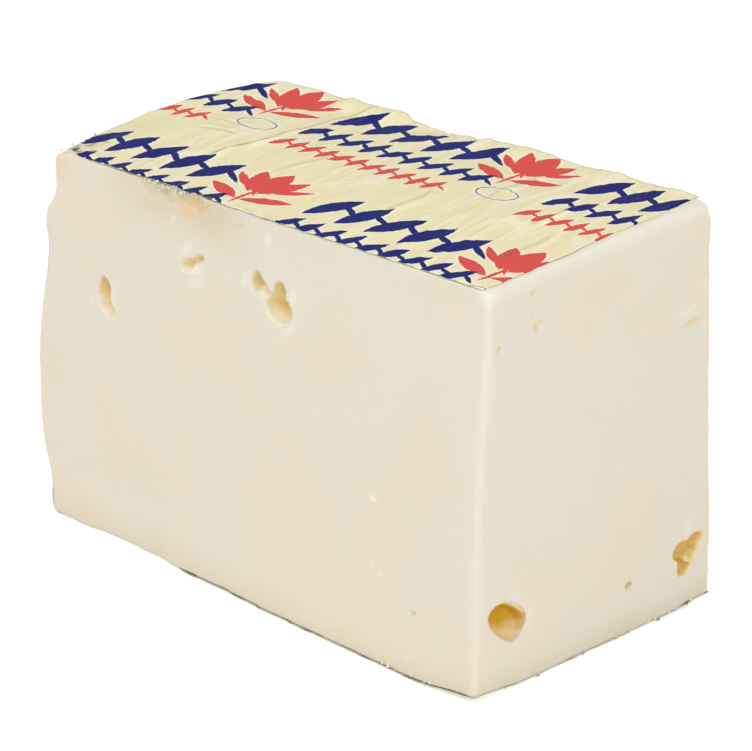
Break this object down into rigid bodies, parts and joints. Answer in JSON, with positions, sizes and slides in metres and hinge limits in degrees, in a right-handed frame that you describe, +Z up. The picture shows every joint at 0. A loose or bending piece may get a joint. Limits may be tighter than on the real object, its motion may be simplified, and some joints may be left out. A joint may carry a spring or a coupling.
{
  "type": "danbo cheese",
  "caption": "Cut slice of pressed semi-hard cheese with a few small eyes, its top, one end and underside still in printed foil.",
  "frame": {"origin": "middle of the foot print, on the surface that the slice stands on", "axes": "+X along the slice from the foil-covered pressed end to the cut end, +Y from the front cut to the back cut, +Z up"},
  "size_m": [0.1428, 0.0772, 0.0922],
  "materials": {
    "cheese": "moist semi-hard cheese, smooth wire-cut faces, slightly translucent",
    "foil": "pale cream-yellow lacquered foil paper with a blue and red print, satin"
  },
  "bodies": {
    "root": {"cheese": "cheese", "wrapper": "foil"}
  },
  "joints": []
}
